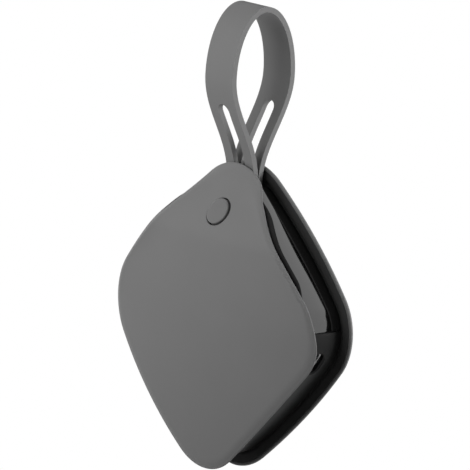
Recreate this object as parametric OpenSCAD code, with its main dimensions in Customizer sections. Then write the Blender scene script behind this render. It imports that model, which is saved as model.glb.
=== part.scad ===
// Two-sided rechargeable hand warmer on a moulded wrist strap, in millimetres.
// The origin is the hanging point, at the inside top of the strap loop. +Z is up,
// the front cover faces -Y and the rear cover faces +Y.

/* [Outline] */
// Middle of the body to each corner tip
half_diagonal = 50; // [47:0.5:54]
// Radius of the four corner tips
corner_radius = 19; // [17:0.5:21]
// Radius of the four bowed sides
side_radius = 309; // [280:1:340]

/* [Front face] */
// Strap plane to the outer face of the front cover at its side corners
front_level = 9; // [8.5:0.1:10]
// Crown of the front cover from side corner to middle
front_bow_across = 6.7; // [6:0.1:7.5]
// Fall of the front cover from the middle to the bottom corner
front_bow_along = 4.93; // [4.4:0.1:5.4]
// How far the shoulder below the top corner steps back
front_step = 6.7; // [6:0.1:7]
// Top corner down to the foot of the shoulder
shoulder_foot = 25; // [23:0.5:27]
// Top corner down to the top of the shoulder
shoulder_top = 4; // [2:0.5:6]

/* [Rear face] */
// Strap plane to the outer face of the rear cover at its side corners
rear_level = 6.65; // [6.2:0.1:7.4]
// Crown of the rear cover from side corner to middle
rear_bow_across = 2.3; // [1.8:0.1:3]
// Fall of the rear cover from the middle to the top corner
rear_bow_up = 4.6; // [4:0.1:4.9]
// Fall of the rear cover from the middle to the bottom corner
rear_bow_down = 5.3; // [5:0.1:6.5]

/* [Covers and carriers] */
// Thickness of a cover's rim, rounded over its whole depth
rim_thickness = 1.3; // [1.2:0.05:1.5]
// Thickness of a cover's pan inside the rim
pan_thickness = 0.7; // [0.6:0.05:0.8]
// Width of the rim, seen from behind
rim_width = 1; // [0.8:0.05:1.2]
// Gap between parts that seat on each other
seat_gap = 0.05; // [0.03:0.01:0.08]
// Corner tips in to the corners of the heated window in a carrier
window_margin = 22; // [21.5:0.5:24]
// Gap round a heat plate in its carrier window
window_gap = 0.3; // [0.2:0.05:0.5]

/* [Recessed wall] */
// Cover edge to the crest of the recessed wall
wall_inset = 4; // [3.6:0.1:4.4]
// Crown of the recessed wall between the covers
wall_crown = 0.8; // [0.4:0.1:1]
// Gap between the recessed wall and the carriers
wall_gap = 0.25; // [0.15:0.05:0.3]
// Thickness of the trims and the lower frame
wall_thickness = 1.6; // [1.5:0.05:1.8]
// Height above the middle of the seam between trims and lower frame
seam_height = 2; // [1:0.5:3]
// Width of that seam
seam_width = 0.2; // [0.1:0.05:0.4]
// Half width of the strap mouth at the top corner
mouth_half_width = 8.2; // [8:0.1:8.6]

/* [Wrist strap] */
// Hanging point to the middle of the body
hang_drop = 100; // [96:0.5:110]
// Width of the strap
strap_width = 13.5; // [13:0.1:13.8]
// Thickness of the strap
strap_thickness = 1.8; // [1.7:0.05:2]
// Top corner down to the strap post
post_drop = 8.5; // [8:0.1:9]
// Strap post to the buried end of the strap
tab_length = 4.5; // [4:0.1:4.7]
// Strap post to the place where the two legs part
neck_length = 3; // [2.5:0.1:4]
// Strap post to the widest place of the loop
belly_length = 37.4; // [34:0.5:40]
// Half of the loop's greatest outside width
belly_half_width = 13.25; // [11:0.25:14]
// Width of the slot in both legs
slot_width = 5.4; // [4.6:0.1:6]
// Strap post to the upper end of the slot
slot_length = 28.2; // [24:0.1:30]
// Strap post to the lower end of the slot
slot_start = 3.4; // [3.2:0.1:5]
// Diameter of the strap post
post_diameter = 3.7; // [3.5:0.1:3.9]
// Radial clearance of the strap on its post
post_clearance = 0.05; // [0.03:0.01:0.08]

/* [Power button] */
// Top corner down to the middle of the button
button_drop = 15.4; // [15.2:0.1:16.2]
// Tilt of the button's axis above the horizontal
button_tilt = 30; // [28:0.5:32]
// Diameter of the cap
button_diameter = 9.2; // [8.8:0.1:9.8]
// Width of the groove round the cap
button_groove = 0.35; // [0.3:0.05:0.5]
// How far the cap stands proud of the cover
button_proud = 0.4; // [0.2:0.05:0.5]
// Travel of the button
button_travel = 0.5; // [0.3:0.05:0.6]

/* [Charging port] */
// Turn of the port below the horizontal, round the right corner
port_turn = 37.5; // [36:0.5:38.5]
// Width of the port opening in the lower frame
port_width = 9.2; // [9.1:0.05:9.4]
// Height of the port opening in the lower frame
port_opening = 3.5; // [3.4:0.05:3.6]

/* [Battery] */
// Lower corner of the cell to the chassis wall
cell_end_gap = 2.25; // [2:0.05:3]
// Thickness of the cell
cell_thickness = 11.2; // [10.5:0.1:11.4]
// Middle of the body down to the middle of the cell
cell_drop = 7.5; // [7.2:0.1:7.8]

/* [Hidden] */

// Facet counts
round_steps = 48;
tip_steps = 8;
side_steps = 5;
rim_steps = 4;
crown_steps = 4;
// Where the rings of a cover lie between its middle and its rim
ring_shares = [0.24, 0.44, 0.56, 0.64, 0.72, 0.8, 0.88, 0.95, 1];
pad_shares = [0.24, 0.44];
// One overrun serves all cuts
over = 30;

// Outline of the covers, and heights above their middle
shoulder_low = half_diagonal - shoulder_foot;
post_height = half_diagonal - post_drop;
button_height = half_diagonal - button_drop;
window_share = 1 - window_margin / half_diagonal;
tip_centre = half_diagonal - corner_radius;
side_reach = side_radius - corner_radius;
side_offset = (sqrt(2 * side_reach * side_reach - tip_centre * tip_centre) - tip_centre) / 2;
tip_turn = atan(side_offset / (tip_centre + side_offset));
FRONT = 0;
REAR = 1;

// Inside the rims
carrier_top = pan_thickness + seat_gap;
film_thickness = 0.2;
film_top = rim_thickness + seat_gap;
film_inset = 1;
pad_top = film_top + film_thickness + seat_gap;
rim_roll = rim_thickness / 2;

// Chassis
chassis_inset = wall_inset + wall_thickness + 2 * seat_gap;
chassis_wall = 1.5;
deck_front = -0.45;
deck_thickness = 1.2;
deck_rear = deck_front + deck_thickness;
cradle_front = -6;
cradle_wall = 0.9;
cradle_top_share = -0.32;
cradle_top = cradle_top_share * half_diagonal;
pocket_margin = 0.4;
pocket_half_width = mouth_half_width + pocket_margin;
pocket_depth = 1.5;
pocket_floor = post_height - tab_length - pocket_depth;

// Case screws
screw_inset = 8.5;
screw_radius = 1;
screw_length = 5;
head_radius = 1.8;
head_height = 1.2;
cup_radius = 2.5;
cup_depth = 2.6;
cup_floor = 0.8;
cup_lap = 0.1;
boss_radius = 2.4;

// Strap
post_radius = post_diameter / 2;
post_boss_radius = 3;
post_boss_gap = 0.3;
neck_half = strap_thickness + seat_gap;
tab_corner = 3;
leg_steps = 14;
crown_arc_steps = 12;
slope_probe = 1;

// Battery, its rounded lower corner held off the chassis wall
cell_corner = 3;
cell_reach = half_diagonal - chassis_inset - chassis_wall - cell_end_gap - cell_drop;
cell_side = sqrt(2) * (cell_reach + cell_corner * (sqrt(2) - 1));
cell_rear = 1.6;
cell_front = cell_rear - cell_thickness;
cell_gap = 0.3;
terrace_width = 4;
terrace_thickness = 1.2;
terrace_front = -4.6;
guard_margin = 4.25;
guard_length = cell_side - 2 * guard_margin;
guard_width = 3.4;
guard_thickness = 1;

// Main board, in the frame turned by 45 degrees along the upper right side. What it
// carries is placed by its setback from the board's edge beside the cell, and by its
// place along the side, a share of the outline.
board_thickness = 1.2;
board_front = deck_front - board_thickness;
board_near = (cell_side - cell_drop * sqrt(2)) / 2 + 2 * cell_gap;
board_end_share = 0.3;
board_end = board_end_share * half_diagonal;
board_inset = 7.7;
board_notch = 3.2;
function board_place(setback, share) = [board_near + setback, share * half_diagonal];
board_screw_setbacks = [4.45, 10.75];
board_screw_shares = [0.21, -0.25];
board_screw_places = [for (k = [0, 1]) board_place(board_screw_setbacks[k], board_screw_shares[k])];
board_screw_radius = 0.7;
board_screw_length = 1.6;
board_head_radius = 1.4;
board_head_height = 0.8;
inductor_setback = 6.95;
inductor_share = 0.08;
inductor_place = board_place(inductor_setback, inductor_share);
inductor_side = 6;
inductor_height = 2.8;
inductor_corner = 1.4;
chip_setback = 5.95;
chip_share = -0.12;
chip_place = board_place(chip_setback, chip_share);
chip_side = 5;
chip_height = 0.9;
socket_setback = 3.85;
socket_share = -0.31;
socket_place = board_place(socket_setback, socket_share);
socket_size = [4.4, 7, 3.4];
socket_wall = 0.6;

// Charging port, along its own axis from the middle of the right corner arc
shell_width = 8.94;
shell_height = 3.2;
shell_wall = 0.3;
shell_back = 6.6;
shell_length = 7;
shell_back_wall = 0.6;
port_y = board_front - shell_height / 2;
tongue_width = 6.7;
tongue_thickness = 0.7;
tongue_length = 5.2;

// Leads
lead_radius = 0.5;
lead_pitch = 1.6;
lead_gap = 0.4;
heater_lead_setback = 2.35;
heater_lead_share = 0.16;
heater_lead_place = board_place(heater_lead_setback, heater_lead_share);
sensor_size = [3, 1, 2];
sensor_share = 0.28;
sensor_place = [0, sensor_share * half_diagonal];
sensor_gap = 0.2;

// Power button, along its own axis from the face of the cover
button_radius = button_diameter / 2;
button_edge = 0.4;
button_dome = 0.1;
flange_lap = 1;
flange_radius = button_radius + flange_lap;
flange_top = 1.95;
flange_thickness = 0.6;
stem_radius = 1.5;
stem_end = 3.2;
switch_gap = 0.02;
plunger_radius = 1.6;
plunger_height = 0.75;
switch_side = 5.2;
switch_height = 1.6;
switch_collar = 0.15;
button_board_width = 11;
button_board_height = 7.2;
button_board_thickness = 1;
button_post_radius = 1.1;
button_post_half_pitch = 4.2;
plunger_top = stem_end + switch_gap;
switch_top = plunger_top + plunger_height;
button_board_top = switch_top + switch_height;
button_board_back = button_board_top + button_board_thickness;

// Curved outline and the two crowned faces, worked out in the front view
function toward(a) = [cos(a), sin(a)];
function nearest_tip(a) = 90 * round(a / 90);
function on_tip(a) = abs(a - nearest_tip(a)) <= tip_turn;
function edge_point(a, inset) = on_tip(a)
    ? tip_centre * toward(nearest_tip(a)) + (corner_radius - inset) * toward(a)
    : -side_offset * sqrt(2) * toward(90 * floor(a / 90) + 45) + (side_radius - inset) * toward(a);
edge_angles = [
    for (q = [0 : 3])
        each concat(
            [for (i = [0 : tip_steps - 1]) 90 * q - tip_turn + 2 * tip_turn * i / tip_steps],
            [for (i = [0 : side_steps - 1]) 90 * q + tip_turn + (90 - 2 * tip_turn) * i / side_steps])
];
function outline(inset) = [for (a = edge_angles) edge_point(a, inset)];

function eased(t) = let (u = min(1, max(0, t))) u * u * (3 - 2 * u);
function squared(v) = v * v;
function front_y(p) = -(front_level
    + front_bow_across * (1 - squared(p[0] / half_diagonal))
    - front_bow_along * squared(p[1] / half_diagonal)
    - front_step * eased((p[1] - shoulder_low) / (shoulder_foot - shoulder_top)));
function rear_y(p) = rear_level
    + rear_bow_across * (1 - squared(p[0] / half_diagonal))
    - (p[1] > 0 ? rear_bow_up : rear_bow_down) * squared(p[1] / half_diagonal);
function face_y(face, p, depth) = face == FRONT ? front_y(p) + depth : rear_y(p) - depth;
function face_point(face, p, depth) = [p[0], face_y(face, p, depth), p[1]];
function face_ring(face, inset, share, depth) =
    [for (p = outline(inset)) face_point(face, share * p, depth)];
function reversed(list) = [for (i = [len(list) - 1 : -1 : 0]) list[i]];
function inner(list) = [for (i = [0 : len(list) - 2]) list[i]];

// Faces between m rings of n points, joined round to the first ring or not. Each quad is
// split one way up to the ring numbered split and the other way after it, so that a plate's
// two faces are split alike.
function band_faces(m, n, joined, split) = [
    for (i = [0 : m - (joined ? 1 : 2)], j = [0 : n - 1])
        let (a = i * n + j, b = i * n + (j + 1) % n, c = ((i + 1) % m) * n + j, d = ((i + 1) % m) * n + (j + 1) % n)
        each (i < split ? [[a, b, d], [a, d, c]] : [[a, b, c], [b, d, c]])
];
function turned(faces, turn) = turn ? [for (f = faces) reversed(f)] : faces;

// A sheet closed by a pole in the middle of each of its two faces
module sheet(face, rings, top_depth, bottom_pole) {
    n = len(rings[0]);
    m = len(rings);
    faces = concat(
        band_faces(m, n, false, floor(m / 2)),
        [for (j = [0 : n - 1]) [m * n, (j + 1) % n, j]],
        [for (j = [0 : n - 1]) [m * n + 1, (m - 1) * n + j, (m - 1) * n + (j + 1) % n]]);
    polyhedron(
        points = concat([for (r = rings) each r], [face_point(face, [0, 0], top_depth), bottom_pole]),
        faces = turned(faces, face == REAR));
}

// A plain curved plate between two depths below a face, on the cover's own rings
module curved_plate(face, edge, top_depth, bottom_depth) {
    inside = inner(ring_shares);
    sheet(face,
        concat(
            [for (s = inside) face_ring(face, rim_roll, s, top_depth)],
            edge == 0 ? [] : [face_ring(face, edge, 1, top_depth), face_ring(face, edge, 1, bottom_depth)],
            [for (s = reversed(inside)) face_ring(face, rim_roll, s, bottom_depth)]),
        top_depth,
        face_point(face, [0, 0], bottom_depth));
}

// Flat outline in the front view, given thickness from y_low to y_high
module slab(y_low, y_high) {
    translate([0, y_high, 0])
        rotate([90, 0, 0])
            linear_extrude(height = y_high - y_low)
                children();
}

module rod_y(radius, y_low, y_high) {
    slab(y_low, y_high)
        circle(r = radius, $fn = round_steps);
}

module round_rect(width, height, corner) {
    square([width - 2 * corner, height], center = true);
    square([width, height - 2 * corner], center = true);
    for (sx = [-1, 1], sy = [-1, 1])
        translate([sx * (width / 2 - corner), sy * (height / 2 - corner)])
            circle(r = corner, $fn = round_steps);
}

module stadium(width, height) {
    square([width - height, height], center = true);
    for (side = [-1, 1])
        translate([side * (width - height) / 2, 0])
            circle(r = height / 2, $fn = round_steps);
}

module on_body() {
    translate([0, 0, -hang_drop])
        children();
}

// Covers: a pan inside a full-round rim
module cover(face) {
    sheet(face,
        concat(
            [for (s = ring_shares) face_ring(face, rim_roll, s, 0)],
            [for (i = [1 : rim_steps])
                let (a = 180 * i / rim_steps)
                face_ring(face, rim_roll * (1 - sin(a)), 1, rim_roll * (1 - cos(a)))],
            [face_ring(face, rim_width, 1, rim_thickness), face_ring(face, rim_width, 1, pan_thickness)],
            [for (s = reversed(inner(ring_shares))) face_ring(face, rim_roll, s, pan_thickness)]),
        0,
        face_point(face, [0, 0], pan_thickness));
}

module window(margin) {
    slab(-over, over)
        scale(window_share)
            polygon(outline(margin / window_share));
}

function screw_place(k) = edge_point(45 + 90 * k, screw_inset);

// Rod along a screw, between two depths below a face
module screw_rod(face, k, radius, top_depth, bottom_depth) {
    p = screw_place(k);
    a = face_y(face, p, top_depth);
    b = face_y(face, p, bottom_depth);
    translate([p[0], 0, p[1]])
        rod_y(radius, min(a, b), max(a, b));
}

function post_slope(face) =
    atan((face_y(face, [0, post_height + slope_probe], 0) - face_y(face, [0, post_height - slope_probe], 0))
        / (2 * slope_probe));

// Boss under a carrier that holds one end of the strap post
module post_boss(face) {
    mid = face_y(face, [0, post_height], carrier_top + (rim_thickness - carrier_top) / 2);
    end = neck_half + post_boss_gap;
    difference() {
        translate([0, 0, post_height])
            rod_y(post_boss_radius,
                face == FRONT ? mid - post_boss_radius : end,
                face == FRONT ? -end : mid + post_boss_radius);
        translate([0, mid, post_height])
            rotate([-post_slope(face), 0, 0])
                translate([-2 * post_boss_radius, face == FRONT ? -4 * post_boss_radius : 0, -2 * post_boss_radius])
                    cube(4 * post_boss_radius);
    }
}

module carrier(face) {
    difference() {
        union() {
            curved_plate(face, rim_width + 2 * seat_gap, carrier_top, rim_thickness);
            post_boss(face);
            for (k = [0 : 3])
                screw_rod(face, k, cup_radius, rim_thickness - cup_lap, rim_thickness + cup_depth);
        }
        window(0);
        for (k = [0 : 3]) {
            screw_rod(face, k, head_radius + seat_gap, 0, rim_thickness + cup_depth - cup_floor);
            screw_rod(face, k, screw_radius + seat_gap, 0, rim_thickness + 2 * cup_depth);
        }
        translate([0, 0, post_height])
            rod_y(post_radius + post_clearance,
                post_end(FRONT),
                post_end(REAR));
        if (face == FRONT)
            on_button_axis()
                cylinder(r = button_radius + button_groove, h = 2 * over, center = true, $fn = round_steps);
    }
}

module heat_plate(face) {
    intersection() {
        curved_plate(face, 0, carrier_top, rim_thickness);
        window(window_gap);
    }
}

module heater_film(face) {
    intersection() {
        curved_plate(face, 0, film_top, film_top + film_thickness);
        window(film_inset);
    }
}

// Foam between a heater film and the cell, with a pocket for the sensor in the rear one
module foam_pad(face) {
    cell_face = face == FRONT ? cell_front - seat_gap : cell_rear + seat_gap;
    flat = [for (p = outline(rim_roll)) let (q = pad_shares[len(pad_shares) - 1] * p) [q[0], cell_face, q[1]]];
    sheet(face,
        concat([for (s = pad_shares) face_ring(face, rim_roll, s, pad_top)], [flat]),
        pad_top,
        [0, cell_face, 0]);
}

module case_screws(face) {
    for (k = [0 : 3]) {
        seat = rim_thickness + cup_depth - cup_floor;
        difference() {
            screw_rod(face, k, head_radius, seat - head_height, seat);
            screw_rod(face, k, screw_radius, seat - head_height, seat - head_height / 2);
        }
        screw_rod(face, k, screw_radius, seat - head_height / 4, seat + screw_length);
    }
}

// Wall between the covers: a crowned section carried along the outline
function wall_section(a, inset, crown, thickness, steps) =
    let (top = rim_thickness + wall_gap,
        outer = [
            for (i = [0 : steps])
                let (v = i / steps,
                    p = edge_point(a, inset + crown * squared(2 * v - 1)))
                [p[0], (1 - v) * face_y(FRONT, p, top) + v * face_y(REAR, p, top), p[1]]
        ],
        q = edge_point(a, inset + thickness))
    concat(outer, [face_point(REAR, q, top), face_point(FRONT, q, top)]);

function stations(from, to) = concat(
    [from],
    [for (lap = [-1 : 1], a = edge_angles)
        let (b = a + 360 * lap)
        if (b > from + tip_turn / tip_steps && b < to - tip_turn / tip_steps) b],
    [to]);

module wall_band(from, to) {
    sections = [for (a = stations(from, to)) wall_section(a, wall_inset, wall_crown, wall_thickness, crown_steps)];
    n = len(sections[0]);
    m = len(sections);
    faces = concat(
        band_faces(m, n, false, m),
        [[for (j = [n - 1 : -1 : 0]) j]],
        [[for (j = [0 : n - 1]) (m - 1) * n + j]]);
    polyhedron(points = [for (s = sections) each s], faces = turned(faces, true));
}

module wall_ring(inset, thickness) {
    sections = [for (a = edge_angles) wall_section(a, inset, 0, thickness, 1)];
    polyhedron(
        points = [for (s = sections) each s],
        faces = turned(band_faces(len(sections), len(sections[0]), true, len(sections)), true));
}

wall_tip_radius = corner_radius - wall_inset;
seam_angle = asin(seam_height / wall_tip_radius);
seam_half_angle = seam_width / 2 / wall_tip_radius * 180 / PI;
mouth_angle = asin(mouth_half_width / wall_tip_radius);

// Cell and chassis
module cell_square(margin) {
    translate([0, -cell_drop])
        rotate(45)
            round_rect(cell_side + 2 * margin, cell_side + 2 * margin, cell_corner + margin);
}

module strap_pocket() {
    translate([-pocket_half_width, pocket_floor])
        square([2 * pocket_half_width, over]);
}

module at_port() {
    translate([tip_centre, port_y, 0])
        rotate([0, port_turn, 0])
            children();
}

// Stadium tunnel along the port's axis
module port_tunnel(width, height, from, to) {
    at_port()
        translate([from, 0, 0])
            rotate([0, 90, 0])
                linear_extrude(height = to - from)
                    stadium(width, height);
}

module on_button_axis() {
    translate([0, front_y([0, button_height]), button_height])
        rotate([90 - button_tilt, 0, 0])
            children();
}

// Post from the deck to the back of the button board, along the button's axis
module button_post(side) {
    reach = (deck_front + deck_thickness / 2 - front_y([0, button_height])) / cos(button_tilt);
    on_button_axis()
        translate([side * button_post_half_pitch, 0, -reach])
            cylinder(r = button_post_radius, h = reach - button_board_back - seat_gap, $fn = round_steps);
}

module board_frame(place, y) {
    rotate([0, -45, 0])
        translate([place[0], y, place[1]])
            children();
}

module heater_lead_hole(margin) {
    board_frame(heater_lead_place, 0)
        for (side = [0, 1])
            translate([0, 0, side * lead_pitch])
                rod_y(lead_radius + margin, -over, over);
}

module chassis_solid() {
    wall_ring(chassis_inset, chassis_wall);
    slab(deck_front, deck_rear)
        difference() {
            polygon(outline(chassis_inset + chassis_wall / 2));
            cell_square(cell_gap);
        }
    slab(cradle_front, deck_rear)
        difference() {
            cell_square(cell_gap + cradle_wall);
            cell_square(cell_gap);
            translate([-over * 2, cradle_top])
                square([over * 4, over * 4]);
        }
    for (k = [0 : 3]) {
        p = screw_place(k);
        translate([p[0], 0, p[1]])
            rod_y(boss_radius, face_y(FRONT, p, rim_thickness + cup_depth), face_y(REAR, p, rim_thickness + cup_depth));
    }
    for (side = [-1, 1])
        button_post(side);
}

module chassis() {
    color("#2b2b2d")
        on_body()
            difference() {
                chassis_solid();
                slab(-over, over)
                    strap_pocket();
                for (face = [FRONT, REAR], k = [0 : 3])
                    screw_rod(face, k, cup_radius + cell_gap, 0, rim_thickness + cup_depth + seat_gap);
                port_tunnel(port_width + 2 * cell_gap, port_opening + cell_gap, shell_back - cell_gap, over);
                for (k = [0 : 3])
                    translate([screw_place(k)[0], 0, screw_place(k)[1]])
                        rod_y(screw_radius + seat_gap, -over, over);
                for (place = board_screw_places)
                    board_frame(place, 0)
                        rod_y(board_screw_radius + seat_gap, -over, over);
                heater_lead_hole(lead_gap);
            }
}

module front_cover() {
    color("#6f6f71")
        on_body()
            difference() {
                cover(FRONT);
                on_button_axis()
                    cylinder(r = button_radius + button_groove, h = 2 * over, center = true, $fn = round_steps);
            }
}

module rear_cover() {
    color("#6f6f71")
        on_body()
            cover(REAR);
}

module front_carrier() {
    color("#2a2a2c")
        on_body()
            carrier(FRONT);
}

module rear_carrier() {
    color("#2a2a2c")
        on_body()
            carrier(REAR);
}

module front_heat_plate() {
    color("#b9bbbd")
        on_body()
            heat_plate(FRONT);
}

module rear_heat_plate() {
    color("#b9bbbd")
        on_body()
            heat_plate(REAR);
}

module front_heater_film() {
    color("#b9722c")
        on_body()
            heater_film(FRONT);
}

module rear_heater_film() {
    color("#b9722c")
        on_body()
            heater_film(REAR);
}

module front_foam_pad() {
    color("#d9d6c9")
        on_body()
            foam_pad(FRONT);
}

module rear_foam_pad() {
    color("#d9d6c9")
        on_body()
            difference() {
                foam_pad(REAR);
                translate([sensor_place[0], 0, sensor_place[1]])
                    cube([sensor_size[0] + cell_gap, over, sensor_size[2] + cell_gap], center = true);
            }
}

module upper_trim_right() {
    color("#0c0c0d")
        on_body()
            wall_band(seam_angle + seam_half_angle, 90 - mouth_angle);
}

module upper_trim_left() {
    color("#0c0c0d")
        on_body()
            wall_band(90 + mouth_angle, 180 - seam_angle - seam_half_angle);
}

module lower_frame() {
    color("#303032")
        on_body()
            difference() {
                wall_band(180 - seam_angle + seam_half_angle, 360 + seam_angle - seam_half_angle);
                port_tunnel(port_width, port_opening, shell_back, over);
            }
}

module front_case_screws() {
    color("#9a9a9c")
        on_body()
            case_screws(FRONT);
}

module rear_case_screws() {
    color("#9a9a9c")
        on_body()
            case_screws(REAR);
}

// Wrist strap: outer curve of one leg, from the neck to the top of the loop
neck_z = post_height + neck_length - hang_drop;
belly_z = post_height + belly_length - hang_drop;
leg_curve = concat(
    [for (i = [0 : leg_steps])
        let (u = i / leg_steps)
        [neck_half + (belly_half_width - neck_half) * (1 - cos(180 * u)) / 2, neck_z + u * (belly_z - neck_z)]],
    [for (i = [1 : crown_arc_steps])
        let (a = 90 * i / crown_arc_steps)
        [belly_half_width * cos(a), belly_z + (strap_thickness - belly_z) * sin(a)]]);
function curve_normal(i) =
    let (last = len(leg_curve) - 1,
        along = i == last ? [-1, 0] : leg_curve[min(last, i + 1)] - leg_curve[max(0, i - 1)])
    [along[1], -along[0]] / norm(along);
leg_inside = [
    for (i = [0 : len(leg_curve) - 1])
        let (p = leg_curve[i] - strap_thickness * curve_normal(i))
        if (p[0] > seat_gap || i == len(leg_curve) - 1) p
];
function both_sides(curve) = concat(curve, [for (i = [len(curve) - 2 : -1 : 0]) [-curve[i][0], curve[i][1]]]);

module loop_profile() {
    tab_z = post_height - tab_length - hang_drop;
    difference() {
        polygon(concat([[-neck_half, tab_z], [neck_half, tab_z]], both_sides(leg_curve)));
        polygon(both_sides(leg_inside));
    }
}

module strap_face() {
    tab_z = post_height - tab_length - hang_drop;
    translate([0, tab_z + tab_corner])
        for (side = [-1, 1])
            translate([side * (strap_width / 2 - tab_corner), 0])
                circle(r = tab_corner, $fn = round_steps);
    translate([-strap_width / 2 + tab_corner, tab_z])
        square([strap_width - 2 * tab_corner, tab_corner]);
    translate([-strap_width / 2, tab_z + tab_corner])
        square([strap_width, -tab_z]);
}

module slot_face() {
    slot_radius = slot_width / 2;
    translate([0, post_height - hang_drop]) {
        circle(r = post_radius + post_clearance, $fn = round_steps);
        for (end = [slot_start + slot_radius, slot_length - slot_radius])
            translate([0, end])
                circle(r = slot_radius, $fn = round_steps);
        translate([-slot_radius, slot_start + slot_radius])
            square([slot_width, slot_length - slot_start - slot_width]);
    }
}

module wrist_strap() {
    color("#707072")
        intersection() {
            rotate([90, 0, 90])
                linear_extrude(height = strap_width, center = true)
                    loop_profile();
            slab(-over, over)
                difference() {
                    strap_face();
                    slot_face();
                }
        }
}

function post_end(face) = face_y(face, [0, post_height + post_radius], rim_thickness);

module strap_post() {
    color("#a9abad")
        on_body()
            translate([0, 0, post_height])
                rod_y(post_radius, post_end(FRONT) + seat_gap, post_end(REAR) - seat_gap);
}

// Battery: cell body, sealed terrace along its upper right side, guard board on the terrace
module battery_cell() {
    color("#c9ccd0")
        on_body() {
            slab(cell_front, cell_rear)
                translate([0, -cell_drop])
                    rotate(45)
                        translate([-terrace_width / 2, 0])
                            round_rect(cell_side - terrace_width, cell_side, cell_corner);
            slab(terrace_front, terrace_front + terrace_thickness)
                translate([0, -cell_drop])
                    rotate(45)
                        translate([cell_side / 2 - terrace_width * 3 / 4, 0])
                            square([terrace_width * 3 / 2, cell_side - 4 * cell_corner], center = true);
        }
}

module protection_board() {
    color("#2f6b3c")
        on_body()
            slab(terrace_front - seat_gap - guard_thickness, terrace_front - seat_gap)
                translate([0, -cell_drop])
                    rotate(45)
                        translate([cell_side / 2 - guard_width / 2, 0])
                            square([guard_width, guard_length], center = true);
}

// Leads from the protection board, over the edge of the main board, to the battery socket
module battery_leads() {
    guard_x = (cell_side - cell_drop * sqrt(2)) / 2 - guard_width / 2;
    top = terrace_front - 2 * seat_gap - guard_thickness - lead_radius;
    color("#b3261e")
        on_body()
            for (side = [-1, 1])
                board_frame([guard_x, socket_place[1] + side * lead_pitch / 2], top) {
                    rotate([0, 90, 0])
                        cylinder(r = lead_radius, h = socket_place[0] - guard_x, $fn = round_steps);
                    translate([socket_place[0] - guard_x, 0, 0])
                        sphere(r = lead_radius, $fn = round_steps);
                    translate([socket_place[0] - guard_x, 0, 0])
                        rod_y(lead_radius, 0, board_front - socket_size[2] / 2 - top);
                }
}

module main_board() {
    color("#1f5a35")
        on_body()
            difference() {
                slab(board_front, deck_front - seat_gap)
                    difference() {
                        intersection() {
                            polygon(outline(board_inset));
                            rotate(45)
                                translate([board_near, -over * 2])
                                    square([over, over * 2 + board_end]);
                        }
                        translate(screw_place(0))
                            circle(r = board_notch, $fn = round_steps);
                        rotate(45)
                            for (place = board_screw_places)
                                translate(place)
                                    circle(r = board_screw_radius + seat_gap, $fn = round_steps);
                    }
                heater_lead_hole(seat_gap);
            }
}

module board_screws() {
    color("#9a9a9c")
        on_body()
            for (place = board_screw_places)
                board_frame(place, 0) {
                    rod_y(board_head_radius, board_front - seat_gap - board_head_height, board_front - seat_gap);
                    rod_y(board_screw_radius, board_front - seat_gap, board_front + board_screw_length);
                }
}

module charging_port() {
    color("#a9abad")
        on_body()
            difference() {
                port_tunnel(shell_width, shell_height - 2 * seat_gap, shell_back, shell_back + shell_length);
                port_tunnel(shell_width - 2 * shell_wall, shell_height - 2 * seat_gap - 2 * shell_wall,
                    shell_back + shell_back_wall, over);
            }
}

module port_tongue() {
    color("#18181a")
        on_body()
            at_port()
                translate([shell_back + shell_back_wall + seat_gap, -tongue_thickness / 2, -tongue_width / 2])
                    cube([tongue_length, tongue_thickness, tongue_width]);
}

module power_inductor() {
    color("#3a3a3c")
        on_body()
            rotate([0, -45, 0])
                slab(board_front - seat_gap - inductor_height, board_front - seat_gap)
                    translate(inductor_place)
                        round_rect(inductor_side, inductor_side, inductor_corner);
}

module control_chip() {
    color("#151517")
        on_body()
            rotate([0, -45, 0])
                slab(board_front - seat_gap - chip_height, board_front - seat_gap)
                    translate(chip_place)
                        square(chip_side, center = true);
}

module battery_socket() {
    base = board_front - seat_gap;
    color("#e8e6df")
        on_body()
            rotate([0, -45, 0])
                difference() {
                    slab(base - socket_size[2], base)
                        translate(socket_place)
                            square([socket_size[0], socket_size[1]], center = true);
                    slab(base - socket_size[2] - over, base - socket_wall)
                        translate(socket_place)
                            square([socket_size[0] - 2 * socket_wall, socket_size[1] - 2 * socket_wall], center = true);
                }
}

// Leads from the front heater film straight back to the main board
module front_heater_leads() {
    start = face_y(FRONT, heater_lead_row(), film_top + film_thickness) + lead_gap;
    color("#d8d4c8")
        on_body()
            board_frame([heater_lead_place[0], -heater_lead_place[1]], 0)
                for (side = [0, 1])
                    translate([0, 0, side * lead_pitch])
                        rod_y(lead_radius, start, board_front - seat_gap);
}

function heater_lead_row() = [
    (heater_lead_place[0] - heater_lead_place[1]) / sqrt(2),
    (heater_lead_place[0] + heater_lead_place[1]) / sqrt(2)
];

// Leads from the rear heater film through the deck to the main board
module rear_heater_leads() {
    end = face_y(REAR, heater_lead_row(), film_top + film_thickness) - lead_gap;
    color("#d8d4c8")
        on_body()
            board_frame(heater_lead_place, 0)
                for (side = [0, 1])
                    translate([0, 0, side * lead_pitch])
                        rod_y(lead_radius, board_front, end);
}

module temperature_sensor() {
    color("#1a1a1c")
        on_body()
            translate([
                sensor_place[0] - sensor_size[0] / 2,
                face_y(REAR, sensor_place, pad_top) - sensor_gap - sensor_size[1],
                sensor_place[1] - sensor_size[2] / 2
            ])
                cube(sensor_size);
}

module button_board() {
    color("#1f5a35")
        on_body()
            on_button_axis()
                translate([-button_board_width / 2, -button_board_height / 2, -button_board_back])
                    cube([button_board_width, button_board_height, button_board_thickness]);
}

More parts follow.
